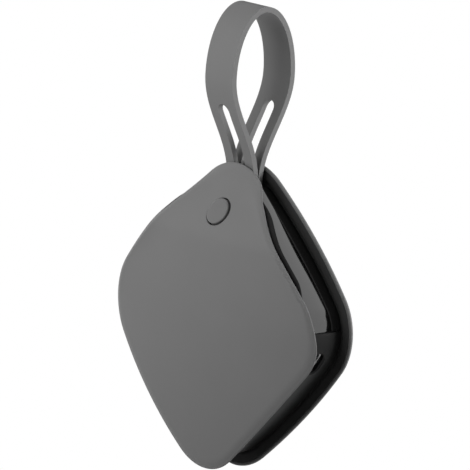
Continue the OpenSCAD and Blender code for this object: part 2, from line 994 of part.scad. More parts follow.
module switch_body() {
    color("#1c1c1e")
        on_body()
            on_button_axis()
                difference() {
                    translate([-switch_side / 2, -switch_side / 2, -button_board_top + seat_gap])
                        cube([switch_side, switch_side, switch_height - seat_gap]);
                    translate([0, 0, -switch_top - button_travel - switch_collar])
                        cylinder(r = plunger_radius + post_clearance, h = over, $fn = round_steps);
                }
}

module switch_plunger() {
    color("#c8c8ca")
        on_body()
            on_button_axis()
                translate([0, 0, -switch_top])
                    cylinder(r = plunger_radius, h = plunger_height, $fn = round_steps);
}

module power_button() {
    color("#6b6b6d")
        on_body()
            on_button_axis()
                rotate_extrude($fn = round_steps * 2)
                    polygon([
                        [0, button_proud + button_dome],
                        [button_radius - button_edge, button_proud],
                        [button_radius, button_proud - button_edge],
                        [button_radius, -flange_top],
                        [flange_radius, -flange_top],
                        [flange_radius, -flange_top - flange_thickness],
                        [stem_radius, -flange_top - flange_thickness],
                        [stem_radius, -stem_end],
                        [0, -stem_end]
                    ]);
}

wrist_strap();
strap_post();
front_cover();
front_carrier();
front_heat_plate();
front_heater_film();
front_foam_pad();
rear_cover();
rear_carrier();
rear_heat_plate();
rear_heater_film();
rear_foam_pad();
upper_trim_right();
upper_trim_left();
lower_frame();
chassis();
front_case_screws();
rear_case_screws();
battery_cell();
protection_board();
battery_leads();
main_board();
board_screws();
charging_port();
port_tongue();
power_inductor();
control_chip();
battery_socket();
front_heater_leads();
rear_heater_leads();
temperature_sensor();
button_board();
switch_body();
switch_plunger();
power_button();
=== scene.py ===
import math

import bmesh
import bpy
import numpy as np
from mathutils import Matrix, Vector


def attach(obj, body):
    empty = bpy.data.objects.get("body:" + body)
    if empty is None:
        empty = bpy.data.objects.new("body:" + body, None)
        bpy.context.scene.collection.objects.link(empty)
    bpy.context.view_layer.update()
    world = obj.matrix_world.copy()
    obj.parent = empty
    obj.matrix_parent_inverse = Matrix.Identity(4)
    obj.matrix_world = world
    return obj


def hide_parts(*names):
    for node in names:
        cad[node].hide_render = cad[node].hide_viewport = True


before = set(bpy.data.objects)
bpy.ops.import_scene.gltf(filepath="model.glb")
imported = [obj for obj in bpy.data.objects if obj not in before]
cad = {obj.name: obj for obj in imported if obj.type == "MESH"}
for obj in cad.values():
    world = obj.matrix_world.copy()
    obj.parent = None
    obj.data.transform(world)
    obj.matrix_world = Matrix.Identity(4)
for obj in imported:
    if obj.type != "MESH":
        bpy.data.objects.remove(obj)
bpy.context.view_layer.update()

# Camera: the photograph looks at the right-hand corner of the wall, a little from above,
# with a very long lens. The angles and the aim were fitted to the outlines of the covers.
azimuth = math.radians(49.01)
elevation = math.radians(10.0)
lean = math.radians(3.13)
aim = Vector((-0.00073, -0.00207, -0.07392))
camera_distance = 4.1835
toward_camera = Vector((
    math.sin(azimuth) * math.cos(elevation), -math.cos(azimuth) * math.cos(elevation), math.sin(elevation)))
level_right = Vector((math.cos(azimuth), math.sin(azimuth), 0))
level_up = toward_camera.cross(level_right)
camera_right = math.cos(lean) * level_right + math.sin(lean) * level_up
camera_up = toward_camera.cross(camera_right)
camera_data = bpy.data.cameras.new("photo_camera")
camera_data.sensor_width = 36
camera_data.lens = 991.7
camera_data.clip_end = 20
camera = bpy.data.objects.new("photo_camera", camera_data)
turn_to_view = Matrix((camera_right, camera_up, toward_camera)).transposed().to_4x4()
camera.matrix_world = Matrix.Translation(aim + camera_distance * toward_camera) @ turn_to_view
bpy.context.scene.collection.objects.link(camera)
bpy.context.scene.camera = camera


# Front cover: a shell moulded in plastic with a grey soft-touch coat, bowed across and
# stepped back below the top corner, where the power button comes through it. It is bonded
# to its carrier, and its full-round rim stands free over the recessed wall.
half_diagonal = 50.0
corner_radius = 19.0
side_radius = 309.0
rim_thickness = 1.3
rim_width = 1.0
pan_thickness = 0.7
hang_drop = 100.0
front_level = 9.0
front_bow_across = 6.7
front_bow_along = 4.93
front_step = 6.7
shoulder_foot = 25.0
shoulder_top = 46.0
tip_centre = half_diagonal - corner_radius
side_reach = side_radius - corner_radius
side_offset = (math.sqrt(2 * side_reach ** 2 - tip_centre ** 2) - tip_centre) / 2
tip_turn = math.degrees(math.atan(side_offset / (tip_centre + side_offset)))


def toward(turn):
    """Unit vector in the front view, `turn` degrees round from the right-hand side."""
    angle = np.radians(turn)
    return np.stack([np.cos(angle), np.sin(angle)], -1)


def outline(turn, inset):
    """Point of the rounded square whose normal points at `turn`, moved in by inset.
    Near a tip it lies on the tip's arc, elsewhere on the long arc of a bowed side."""
    turn, inset = np.broadcast_arrays(np.asarray(turn, float), inset)
    tip = 90 * np.round(turn / 90)
    side = 90 * np.floor(turn / 90) + 45
    reach = toward(turn)
    inset = inset[..., None]
    on_tip = tip_centre * toward(tip) + (corner_radius - inset) * reach
    on_side = -side_offset * math.sqrt(2) * toward(side) + (side_radius - inset) * reach
    return np.where((np.abs(turn - tip) <= tip_turn)[..., None], on_tip, on_side)


def round_turns(per_tip, per_side):
    """Turns all round the outline, evenly spaced within each tip and each side."""
    starts = []
    for quarter in range(4):
        starts.append(90 * quarter - tip_turn + 2 * tip_turn * np.arange(per_tip) / per_tip)
        starts.append(90 * quarter + tip_turn + (90 - 2 * tip_turn) * np.arange(per_side) / per_side)
    return np.concatenate(starts)


def eased(level, start, end):
    """Smooth rise from 0 at one level to 1 at another: three times the square of the way
    between them, less twice its cube."""
    way = np.clip((level - start) / (end - start), 0, 1)
    return way * way * (3 - 2 * way)


def front_height(p):
    """Y of the front face: a parabola across, another along, and a smooth step back from
    the shoulder's foot to near the top corner."""
    across = (p[..., 0] / half_diagonal) ** 2
    along = (p[..., 1] / half_diagonal) ** 2
    step = front_step * eased(p[..., 1], shoulder_foot, shoulder_top)
    return -(front_level + front_bow_across * (1 - across) - front_bow_along * along - step)


def on_face(height, side, p, depth):
    """Points below a face: p in the front view, depth measured back into the body."""
    return np.stack([p[..., 0], height(p) - side * np.asarray(depth), p[..., 1]], -1)


def to_frame(points):
    """Millimetres from the body's middle, as metres from the point where the strap hangs."""
    return (points - [0, 0, hang_drop]) * 0.001


def new_piece(name, points, faces):
    """Mesh object made from points in metres and faces, linked into the scene."""
    mesh = bpy.data.meshes.new(name)
    mesh.from_pydata(points.tolist(), [], faces)
    piece = bpy.data.objects.new(name, mesh)
    bpy.context.scene.collection.objects.link(piece)
    return piece


def shell(name, rings, first_pole=None, last_pole=None, joined=False, body="housing"):
    """Skins a stack of closed rings with quads, closes its ends with fans round poles or
    joins the last ring to the first, and turns all faces outwards, which is so when the
    cones from the middle to the faces add up to a positive volume."""
    count, around = rings.shape[:2]
    points = rings.reshape(-1, 3)
    start = np.arange(count)[:, None] * around
    here = start + np.arange(around)
    beside = start + np.roll(np.arange(around), -1)
    quads = np.stack([here, beside, np.roll(beside, -1, axis=0), np.roll(here, -1, axis=0)], -1)
    quads = quads[:count if joined else count - 1].reshape(-1, 4)
    fans = np.empty((0, 3), int)
    for pole, ring, step in ((first_pole, here[0], 1), (last_pole, here[-1], -1)):
        if pole is not None:
            hub = np.full(around, len(points))
            points = np.concatenate([points, [pole]])
            fans = np.concatenate([fans, np.stack([hub, np.roll(ring, -1), ring], -1)[:, ::step]])
    corners = points[np.concatenate([quads[:, [0, 1, 2]], quads[:, [0, 2, 3]], fans])]
    volume = np.einsum("ij,ij->i", corners[:, 0], np.cross(corners[:, 1], corners[:, 2])).sum()
    order = -1 if volume < 0 else 1
    piece = new_piece(name, to_frame(points), quads[:, ::order].tolist() + fans[:, ::order].tolist())
    piece.data.polygons.foreach_set("use_smooth", np.ones(len(piece.data.polygons), bool))
    piece.data.validate()
    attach(piece, body)
    return piece


button_height = 34.6
button_tilt = math.radians(30)
button_out = np.array([0, -math.cos(button_tilt), math.sin(button_tilt)])
button_across = np.array([1.0, 0, 0])
button_up = np.cross(button_out, button_across)
button_seat = np.array([0, float(front_height(np.array([0, button_height]))), button_height])
hole_radius = 4.95
hole_edge = 0.3
hole_wall = 0.5
newton_steps = 8
newton_share = 0.8


def hole_rings(angle, radius, depth):
    """Rings round the button's axis, one for each radius, that lie on the face by a few
    Newton steps along the axis and then go down the axis by their depth."""
    spoke = np.cos(angle)[:, None] * button_across + np.sin(angle)[:, None] * button_up
    rings = button_seat + radius[:, None, None] * spoke
    for _ in range(newton_steps):
        miss = front_height(rings[..., [0, 2]]) - rings[..., 1]
        rings = rings + (miss / button_out[1])[..., None] * button_out * newton_share
    return rings - depth[:, None, None] * button_out


rim_lip = np.array([[0.8, 1.3], [0.93, 1.3], [1.0, 1.23], [1.0, 1.0], [1.0, 0.7]])


def rim_rows(height, side, turns, roll=0.0):
    """Round rim from the face, rolled back by roll, to its back: its inset and depth follow
    the sine and the cosine of half a turn. The insets and depths of its inner lip follow."""
    arc = np.radians(np.linspace(0, 180, 15))
    inset = np.concatenate([rim_thickness / 2 * (1 - np.sin(arc)), rim_lip[:, 0]])
    depth = np.concatenate([roll + (rim_thickness - roll) / 2 * (1 - np.cos(arc)), rim_lip[:, 1]])
    return on_face(height, side, outline(turns, inset[:, None]), depth[:, None])


roll_depth = 0.5
roll_width = 2.6
edge_in = 1.3
edge_forward = 1.3
edge_foot = (-8.0, 8.0)
edge_top = (46.0, 39.0)
edge_hollow = 0.4
hollow_height = 34.0
hollow_spread = 6.0
middle_ease = 4.0


def front_cover_rings(turns):
    """From the button's hole out over the face, round the rim, and back inside. The face
    rolls back towards the rim by the square of its nearness. Above the side corners the
    rim is drawn in and forward, by a share that eases in and out with height and grows as
    the cube of the way from the hole to the rim, and a bell curve hollows it by the button."""
    rim = outline(turns, rim_thickness / 2)
    away = np.arctan2(rim[:, 1] - button_height, rim[:, 0])
    bend = np.radians(np.linspace(0, 90, 6))
    radius = hole_radius + hole_edge * np.concatenate([[0, 0], 1 - np.cos(bend)])
    depth = np.concatenate([[pan_thickness, hole_wall], hole_edge * (1 - np.sin(bend))])
    hole = hole_rings(away, radius, depth)
    out = 0.5 - 0.5 * np.cos(np.pi * np.linspace(0, 1, 72)[1:-1, None, None])
    p = (1 - out) * hole[-1][:, [0, 2]] + out * rim
    near_rim = np.clip(1 - np.linalg.norm(rim - p, axis=-1) / roll_width, 0, 1)
    face = on_face(front_height, -1, p, roll_depth * near_rim ** 2)
    edge = rim_rows(front_height, -1, turns, roll_depth)
    back = np.linspace(1, 0, 30)[1:-1, None, None]
    p = (1 - back) * hole[0][:, [0, 2]] + back * outline(turns, rim_width)
    rings = np.concatenate([hole, face, edge, on_face(front_height, -1, p, pan_thickness)])
    way = np.concatenate([np.zeros(len(hole)), out.ravel(), np.ones(len(edge)), back.ravel()])[:, None]
    level = rings[..., 2]
    share = eased(level, *edge_top) * eased(level, *edge_foot) * way ** 3
    hollow = edge_hollow * np.exp(-((level - hollow_height) / hollow_spread) ** 2)
    rings[..., 0] -= (edge_in + hollow) * share * np.tanh(rings[..., 0] / middle_ease)
    rings[..., 1] -= edge_forward * share
    return rings


cover_turns = round_turns(56, 44)
front_cover = shell("front_cover_shell", front_cover_rings(cover_turns), joined=True)
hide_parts("front_cover")


def linear(value):
    """Display value from 0 to 1, as linear light."""
    return value / 12.92 if value <= 0.04045 else ((value + 0.055) / 1.055) ** 2.4


def grey(value, warmth=0.0):
    """Linear colour for a grey of that display value."""
    return (linear(value + warmth), linear(value), linear(value - warmth), 1)


def new_group(name, inputs, outputs):
    """Empty node group with float inputs, a vector input, and named outputs."""
    group = bpy.data.node_groups.new(name, "ShaderNodeTree")
    group.interface.new_socket("Vector", in_out="INPUT", socket_type="NodeSocketVector")
    for label, value in inputs:
        socket = group.interface.new_socket(label, in_out="INPUT", socket_type="NodeSocketFloat")
        socket.default_value = value
    for label in outputs:
        group.interface.new_socket(label, in_out="OUTPUT", socket_type="NodeSocketFloat")
    return group, group.nodes.new("NodeGroupInput"), group.nodes.new("NodeGroupOutput")


# Grain of a moulded or coated surface: fine noise for its height, and a slow cloud that a
# material uses for small changes of shade and gloss.
grain, grain_in, grain_out = new_group(
    "moulded_grain", [("Grain Scale", 3000.0), ("Cloud Scale", 60.0)], ["Height", "Cloud"])
fine = grain.nodes.new("ShaderNodeTexNoise")
fine.inputs["Detail"].default_value = 3
fine.inputs["Roughness"].default_value = 0.6
cloud = grain.nodes.new("ShaderNodeTexNoise")
cloud.inputs["Detail"].default_value = 4
cloud.inputs["Roughness"].default_value = 0.55
grain.links.new(grain_in.outputs["Vector"], fine.inputs["Vector"])
grain.links.new(grain_in.outputs["Grain Scale"], fine.inputs["Scale"])
grain.links.new(grain_in.outputs["Vector"], cloud.inputs["Vector"])
grain.links.new(grain_in.outputs["Cloud Scale"], cloud.inputs["Scale"])
grain.links.new(fine.outputs["Fac"], grain_out.inputs["Height"])
grain.links.new(cloud.outputs["Fac"], grain_out.inputs["Cloud"])


cloud_low = 0.3
cloud_high = 0.7


def finish(name, low, high, gloss, grain_scale, bump,
           cloud_scale=60.0, metal=0.0, coat=0.0, depth=0.00003):
    """Material whose colour and roughness drift between two values with the cloud, and
    whose bump is the fine grain."""
    material = bpy.data.materials.new(name)
    material.use_nodes = True
    nodes = material.node_tree.nodes
    links = material.node_tree.links
    shader = nodes["Principled BSDF"]
    place = nodes.new("ShaderNodeTexCoord")
    texture = nodes.new("ShaderNodeGroup")
    texture.node_tree = grain
    texture.inputs["Grain Scale"].default_value = grain_scale
    texture.inputs["Cloud Scale"].default_value = cloud_scale
    links.new(place.outputs["Object"], texture.inputs["Vector"])
    tint = nodes.new("ShaderNodeMix")
    tint.data_type = "RGBA"
    tint.inputs["A"].default_value = low
    tint.inputs["B"].default_value = high
    links.new(texture.outputs["Cloud"], tint.inputs["Factor"])
    links.new(tint.outputs["Result"], shader.inputs["Base Color"])
    rough = nodes.new("ShaderNodeMapRange")
    rough.inputs["From Min"].default_value = cloud_low
    rough.inputs["From Max"].default_value = cloud_high
    rough.inputs["To Min"].default_value = gloss[0]
    rough.inputs["To Max"].default_value = gloss[1]
    links.new(texture.outputs["Cloud"], rough.inputs["Value"])
    links.new(rough.outputs["Result"], shader.inputs["Roughness"])
    lift = nodes.new("ShaderNodeBump")
    lift.inputs["Strength"].default_value = bump
    lift.inputs["Distance"].default_value = depth
    links.new(texture.outputs["Height"], lift.inputs["Height"])
    links.new(lift.outputs["Normal"], shader.inputs["Normal"])
    shader.inputs["Metallic"].default_value = metal
    shader.inputs["Coat Weight"].default_value = coat
    return material, shader


def wear(piece, material):
    """Gives the piece this material in every slot."""
    piece.data.materials.clear()
    piece.data.materials.append(material)


soft_touch, soft_touch_shader = finish(
    "soft_touch_grey", grey(0.425), grey(0.445), (0.42, 0.5), 3500.0, 0.25)
soft_touch_shader.inputs["Specular IOR Level"].default_value = 0.2
wear(front_cover, soft_touch)


# Rear cover: the same kind of coated shell, bonded to its own carrier. Its bow is flatter
# and it has no hole, so its rings close on a pole in the middle.
rear_level = 6.65
rear_bow_across = 2.3
rear_bow_up = 4.6
rear_bow_down = 5.3


def rear_height(p):
    """Y of the rear face: a parabola across, and a deeper one down than up."""
    across = (p[..., 0] / half_diagonal) ** 2
    along = (p[..., 1] / half_diagonal) ** 2
    fall = np.where(p[..., 1] > 0, rear_bow_up, rear_bow_down)
    return rear_level + rear_bow_across * (1 - across) - fall * along


def rear_cover_rings(turns):
    """From the middle out over the face, round the rim, and back inside."""
    out = np.sin(np.pi / 2 * np.linspace(0, 1, 50)[1:-1, None, None])
    face = on_face(rear_height, 1, out * outline(turns, rim_thickness / 2), 0)
    back = np.linspace(1, 0, 30)[1:-1, None, None]
    inside = on_face(rear_height, 1, back * outline(turns, rim_width), pan_thickness)
    return np.concatenate([face, rim_rows(rear_height, 1, turns), inside])


middle = np.array([0.0, 0.0])
rear_cover = shell(
    "rear_cover_shell", rear_cover_rings(cover_turns),
    on_face(rear_height, 1, middle, 0), on_face(rear_height, 1, middle, pan_thickness))
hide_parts("rear_cover")
wear(rear_cover, soft_touch)


# Carriers: black plastic mouldings under the covers, screwed to the chassis, with a window
# for the heater, cups for the screws and a boss for the strap's post. Only their borders
# show, between the rims and the wall. These are made smooth, and the rest is the frame's.
def place_on_outline(p):
    """Turn and inset of a point of the front view, the reverse of outline(): its angle and
    distance from the centre of its tip's arc, or else of its side's long arc."""
    angle = np.degrees(np.arctan2(p[:, 1], p[:, 0]))
    tip = 90 * np.round(angle / 90)
    from_tip = p - tip_centre * toward(tip)
    turn_tip = np.degrees(np.arctan2(from_tip[:, 1], from_tip[:, 0]))
    turn_tip += 360 * np.round((tip - turn_tip) / 360)
    side = 90 * np.floor(angle / 90) + 45
    from_side = p + side_offset * math.sqrt(2) * toward(side)
    turn_side = np.degrees(np.arctan2(from_side[:, 1], from_side[:, 0]))
    on_tip = np.abs(turn_tip - tip) <= tip_turn
    inset = np.where(on_tip, corner_radius - np.hypot(*from_tip.T), side_radius - np.hypot(*from_side.T))
    return np.where(on_tip, turn_tip, turn_side), inset


border_top = 0.73
border_thickness = 0.61
border_width = 4.6
border_round = 0.06
border_start = 0.2
border_middle = 0.3
core_margin = 0.4


def border_rings(height, side, turns, outer):
    """A flat border with rounded edges that follows the face, from its outer inset in: its
    edge as insets and depths, then its flats as shares of its width and depths."""
    edge = np.array([
        [border_start, 0], [border_round, 0], [0, border_round], [0, border_thickness - border_round],
        [border_round, border_thickness], [border_start, border_thickness]])
    flats = np.array([
        [0.35, border_thickness], [0.7, border_thickness], [1, border_thickness], [1, border_middle],
        [1, 0], [0.7, 0], [0.35, 0]])
    width = border_width - border_start - np.minimum(outer, border_width - 1)
    inset = np.concatenate([outer + edge[:, :1], outer + border_start + flats[:, :1] * width])
    depth = border_top + np.concatenate([edge[:, 1:], flats[:, 1:]])
    return on_face(height, side, outline(turns, inset), depth)


def carrier_moulding(name, node, height, side, outer):
    """The smooth border joined with a copy of the frame's carrier, whose own edge is drawn
    in under it: its points keep their turn and their depth below the face, and their inset
    is at least the border's width less a margin."""
    border = shell(name, border_rings(height, side, cover_turns, outer), joined=True)
    core = bpy.data.meshes.new(name + "_core")
    shape = bmesh.new()
    shape.from_mesh(cad[node].data)
    bmesh.ops.remove_doubles(shape, verts=shape.verts, dist=1e-7)
    shape.to_mesh(core)
    shape.clear()
    at = np.empty(3 * len(core.vertices))
    core.vertices.foreach_get("co", at)
    at = at.reshape(-1, 3) * 1000 + [0, 0, hang_drop]
    flat = at[:, [0, 2]]
    turn, inset = place_on_outline(flat)
    core_inset = border_width - core_margin
    moved = outline(turn, np.maximum(inset, core_inset))
    outermost = inset < core_inset
    at[outermost, 1] += (height(moved) - height(flat))[outermost]
    at[outermost, 0] = moved[outermost, 0]
    at[outermost, 2] = moved[outermost, 1]
    core.vertices.foreach_set("co", to_frame(at).ravel())
    shape.from_mesh(core)
    bmesh.ops.remove_doubles(shape, verts=shape.verts, dist=1e-6)
    bmesh.ops.dissolve_degenerate(shape, edges=shape.edges, dist=1e-6)
    shape.from_mesh(border.data)
    shape.to_mesh(border.data)
    shape.free()
    bpy.data.meshes.remove(core)
    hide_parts(node)
    return border


border_inset = 1.05
upper_setback = 2.35
setback_foot = (-10, 0)
setback_top = (42, 47)
shoulder_relief = 3.2
relief_foot = (10, 18)
relief_top = (47, 34)


def front_border_inset(level):
    """Inset of the front border's outer edge by height. It is set back above the side
    corners, comes out along the shoulders, where the cover's rim is drawn in, and returns
    at the top corner, each time eased between two heights."""
    setback = upper_setback * (eased(level, *setback_foot) - eased(level, *setback_top))
    return border_inset + setback - shoulder_relief * eased(level, *relief_foot) * eased(level, *relief_top)


front_outer = front_border_inset(outline(cover_turns, rim_width)[:, 1])
front_carrier = carrier_moulding("front_carrier_moulding", "front_carrier", front_height, -1, front_outer)
rear_outer = np.full(len(cover_turns), border_inset)
rear_carrier = carrier_moulding("rear_carrier_moulding", "rear_carrier", rear_height, 1, rear_outer)
# Both carriers are the same black plastic, but their colours carry light and shade. The rear carrier's grey
# is painted lighter than the plastic, as painted light for its border, which sits in shade between the rear
# rim and the wall. The front carrier wears a near-black copy, as painted shade for its border under the
# front rim.
carrier_black, carrier_painted_light_shader = finish("carrier_black", grey(0.23), grey(0.26), (0.55, 0.7), 2600.0, 0.4)
carrier_painted_light_shader.inputs["Specular IOR Level"].default_value = 0.1
front_carrier_painted_shade, front_carrier_painted_shade_shader = finish(
    "front_carrier_painted_shade", grey(0.05), grey(0.07), (0.55, 0.7), 2600.0, 0.4)
front_carrier_painted_shade_shader.inputs["Specular IOR Level"].default_value = 0.2
wear(front_carrier, front_carrier_painted_shade)
wear(rear_carrier, carrier_black)


# Power button: a round plastic cap, coated like the covers, with a softened edge and a
# narrow groove round it. A flange behind the cover keeps it in, and its stem ends above
# the switch's plunger. The profile is its radii and its heights above the face.
button_crown = 0.62
button_foot = -3.2
button_profile = np.array([
    [2.9, 0.6], [3.8, 0.58], [4.15, 0.55], [4.32, 0.5], [4.43, 0.42], [4.49, 0.3], [4.52, 0.1],
    [4.52, -0.9], [4.52, -1.9], [4.54, -1.95], [5.55, -1.95], [5.6, -2.0], [5.6, -2.5], [5.55, -2.55],
    [1.6, -2.55], [1.5, -2.6], [1.5, -3.15], [1.45, -3.2]])


def turned(profile, steps):
    """A profile of radius and height carried round the button's axis."""
    angle = np.linspace(0, 2 * np.pi, steps, endpoint=False)
    ring = np.cos(angle)[:, None] * button_across + np.sin(angle)[:, None] * button_up
    return button_seat + profile[:, 0, None, None] * ring + profile[:, 1, None, None] * button_out


power_button = shell(
    "power_button_cap", turned(button_profile, 128),
    button_seat + button_crown * button_out, button_seat + button_foot * button_out, body="button")
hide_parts("power_button")
button_coat, button_shader = finish("button_grey", grey(0.41), grey(0.43), (0.42, 0.5), 3500.0, 0.25)
button_shader.inputs["Specular IOR Level"].default_value = 0.2
wear(power_button, button_coat)


# Upper trims: two gloss-black plastic mouldings, crowned between the covers, that run from
# the side corners up to the strap's mouth. They snap into the groove between the carriers.
wall_inset = 4.0
wall_crown = 0.8
wall_thickness = 1.6
wall_depth = 1.55
wall_edge = 0.25
seam_height = 2.0
seam_width = 0.2
mouth_half = 8.2
crown_steps = 17
round_steps = 5
wall_tip = corner_radius - wall_inset
seam_turn = math.degrees(math.asin(seam_height / wall_tip))
seam_half = math.degrees(seam_width / 2 / wall_tip)
mouth_turn = math.degrees(math.asin(mouth_half / wall_tip))


def wall_loop(turns, swell):
    """Closed sections of the wall, one for each turn: a rectangle between the two covers
    with a crowned outer side, drawn in by the edge's rounding and swollen again by swell
    along its own normal, so that an end can close in a quarter round."""
    none = np.zeros(round_steps)
    full = np.ones(round_steps)
    over = np.concatenate([np.linspace(0, 1, crown_steps), full, full, none, none])
    inner = np.concatenate([np.zeros(crown_steps), none, full, full, none])
    normal = np.radians(np.concatenate([
        np.zeros(crown_steps), np.linspace(0, 90, round_steps + 2)[1:-1], np.linspace(90, 180, round_steps),
        np.linspace(180, 270, round_steps), np.linspace(270, 360, round_steps + 2)[1:-1]]))
    crown = wall_crown * (2 * over - 1) ** 2 * (1 - inner)
    inset = wall_inset + crown + wall_edge + inner * (wall_thickness - 2 * wall_edge)
    swell = swell[:, None]
    p = outline(turns[:, None], inset - swell * np.cos(normal))
    low = front_height(p) + wall_depth + wall_edge
    high = rear_height(p) - wall_depth - wall_edge
    y = (1 - over) * low + over * high + swell * np.sin(normal)
    return np.stack([p[..., 0], y, p[..., 1]], -1)


def wall_rings(start, end):
    """Wall sections from one turn to another, whose turn and swell follow the sine and the
    cosine of a quarter turn at each end."""
    span = np.degrees(wall_edge / wall_tip)
    own = round_turns(40, 30)
    own = np.concatenate([own - 360, own, own + 360])
    own = own[(own > start + 1.5 * span) & (own < end - 1.5 * span)]
    close = np.radians(np.linspace(0, 75, 6))
    gap = span * (1 - np.sin(close))
    rounding = wall_edge * np.cos(close)
    turns = np.concatenate([start + gap[::-1], own, end - gap])
    return wall_loop(turns, np.concatenate([rounding[::-1], np.full(len(own), wall_edge), rounding]))


def wall_piece(name, start, end):
    """A stretch of the wall, closed at both ends by fans."""
    rings = wall_rings(start, end)
    return shell(name, rings, rings[0].mean(0), rings[-1].mean(0))


gloss_black, gloss_shader = finish(
    "gloss_black", grey(0.025), grey(0.035), (0.05, 0.09), 900.0, 0.02, cloud_scale=40.0, coat=1.0)
gloss_shader.inputs["IOR"].default_value = 1.62
gloss_shader.inputs["Coat IOR"].default_value = 1.62
trim_right = wall_piece("upper_trim_right_moulding", seam_turn + seam_half, 90 - mouth_turn)
trim_left = wall_piece("upper_trim_left_moulding", 90 + mouth_turn, 180 - seam_turn - seam_half)
for piece, node in ((trim_right, "upper_trim_right"), (trim_left, "upper_trim_left")):
    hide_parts(node)
    wear(piece, gloss_black)


# Lower frame: one satin plastic moulding round the lower half of the wall, snapped into
# the same groove, with the charging port's opening cut through it at the right.
port_turn = math.radians(37.5)
port_y = -3.25
port_width = 9.2
port_height = 4.5
port_shift = 0.5
port_reaches = [(6.0, 0), (14.3, 0), (14.75, 0.4), (20.0, 0.4)]
satin_black, satin_shader = finish("satin_frame", grey(0.13), grey(0.15), (0.36, 0.44), 2600.0, 0.2)
satin_shader.inputs["Specular IOR Level"].default_value = 0.1
lower_frame = wall_piece("lower_frame_moulding", 180 - seam_turn + seam_half, 360 + seam_turn - seam_half)
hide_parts("lower_frame")
wear(lower_frame, satin_black)


def port_rings():
    """Stadium sections along the port's axis from the middle of the right corner's arc, one
    for each reach, whose half circles grow by its second number."""
    angle = np.linspace(0, 2 * np.pi, 64, endpoint=False)
    reach, grow = np.array(port_reaches).T[..., None, None]
    along = np.array([math.cos(port_turn), 0, -math.sin(port_turn)])
    wide = np.array([math.sin(port_turn), 0, math.cos(port_turn)])
    thick = np.array([0, 1.0, 0])
    flat = np.sign(np.cos(angle)) * (port_width - port_height) / 2
    ring = (flat[:, None] + np.cos(angle)[:, None] * (port_height / 2 + grow)) * wide
    ring = ring + np.sin(angle)[:, None] * (port_height / 2 + grow) * thick
    return ring + np.array([tip_centre, port_y + port_shift, 0]) + reach * along


cutter_rings = port_rings()
cutter = shell("port_cutter", cutter_rings, cutter_rings[0].mean(0), cutter_rings[-1].mean(0))


def cut(piece, tool):
    """Takes the tool's solid out of the piece and removes the tool."""
    step = piece.modifiers.new("cut", "BOOLEAN")
    step.operation = "DIFFERENCE"
    step.solver = "EXACT"
    step.object = tool
    bpy.context.view_layer.update()
    shape = piece.evaluated_get(bpy.context.evaluated_depsgraph_get())
    mesh = bpy.data.meshes.new_from_object(shape)
    piece.modifiers.clear()
    piece.data = mesh
    bpy.data.objects.remove(tool)


soft_angle = math.radians(35)
cut(lower_frame, cutter)
lower_frame.data.set_sharp_from_angle(angle=soft_angle)


# Wrist strap: one silicone moulding, held by a steel post through the tab in its mouth.
# Two legs part above the tab and meet in a rounded top, and a long slot runs up both legs.
strap_width = 13.5
strap_thickness = 1.8
post_height = 41.5
tab_length = 4.5
neck_length = 3.0
neck_half = 1.85
belly_length = 37.4
belly_half = 13.25
tab_level = post_height - tab_length
neck_level = post_height + neck_length
belly_level = post_height + belly_length
top_level = hang_drop + strap_thickness
legs_apart = 0.05


def leg_outside(steps, crown_steps):
    """Outer curve of the right-hand leg: a half wave from the neck to the widest place,
    then a quarter ellipse to the top."""
    u = np.linspace(0, 1, steps)
    wave = np.stack([neck_half + (belly_half - neck_half) * (1 - np.cos(np.pi * u)) / 2,
                     neck_level + u * (belly_level - neck_level)], -1)
    a = np.radians(np.linspace(0, 90, crown_steps))[1:]
    crown = np.stack([belly_half * np.cos(a), belly_level + (top_level - belly_level) * np.sin(a)], -1)
    return np.concatenate([wave, crown])


def strap_contours():
    """Outer and inner contours in the side view. The inner one keeps the strap's thickness
    from the outer one and starts where the legs have parted."""
    outside = leg_outside(60, 40)
    along = np.gradient(outside, axis=0)
    along[-1] = [-1, 0]
    normal = np.stack([along[:, 1], -along[:, 0]], -1) / np.linalg.norm(along, axis=1)[:, None]
    inside = outside - strap_thickness * normal
    inside[-1, 0] = 0
    start = int(np.argmax(inside[:, 0] > legs_apart))
    return outside, inside, start


def carried_across(outside, inside, start):
    """Side view carried across the strap's width. The two flat sides are skinned between
    the contours, and the tab and the neck below the parting are filled as one face."""
    mirror = np.array([-1, 1])
    foot = np.array([[neck_half, tab_level]])
    outer = np.concatenate([foot, outside, outside[:-1][::-1] * mirror, foot * mirror])
    low = inside[start] * [0, 1] - [0, legs_apart]
    inner = np.concatenate([[low], inside[start:], inside[start:-1][::-1] * mirror])
    flat = np.concatenate([outer, inner])
    total = len(flat)
    points = np.concatenate([np.insert(flat, 0, side * strap_width / 2, axis=1) for side in (-1, 1)])
    faces = []
    for first, count in ((0, len(outer)), (len(outer), len(inner))):
        here = first + np.arange(count)
        beside = first + (np.arange(count) + 1) % count
        faces += np.stack([here, beside, beside + total, here + total], -1).tolist()
    right_out = np.arange(start, len(outside)) + 1
    right_in = np.arange(len(outside) - start) + len(outer) + 1
    left_out = len(outer) - 1 - right_out
    left_in = 2 * len(outer) + len(inner) - right_in
    left_in[-1] = right_in[-1]
    left_out[-1] = right_out[-1]
    strips = np.concatenate([
        np.stack([o[:-1], o[1:], i[1:], i[:-1]], -1)
        for o, i in ((right_out, right_in), (left_out[::-1], left_in[::-1]))])
    faces += np.stack([strips, strips + total], 1).reshape(-1, 4).tolist()
    neck = np.concatenate([
        [left_in[0], len(outer), right_in[0]], np.arange(right_out[0], -1, -1),
        np.arange(len(outer) - 1, left_out[0] - 1, -1)])
    faces += np.stack([neck, neck + total]).tolist()
    return points, faces


strap_outside, strap_inside, strap_start = strap_contours()
strap_points, strap_faces = carried_across(strap_outside, strap_inside, strap_start)
strap = new_piece("wrist_strap_loop", to_frame(strap_points), strap_faces)
shape = bmesh.new()
shape.from_mesh(strap.data)
bmesh.ops.recalc_face_normals(shape, faces=shape.faces)
shape.to_mesh(strap.data)
shape.free()
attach(strap, "strap")

body_reach = 18.0


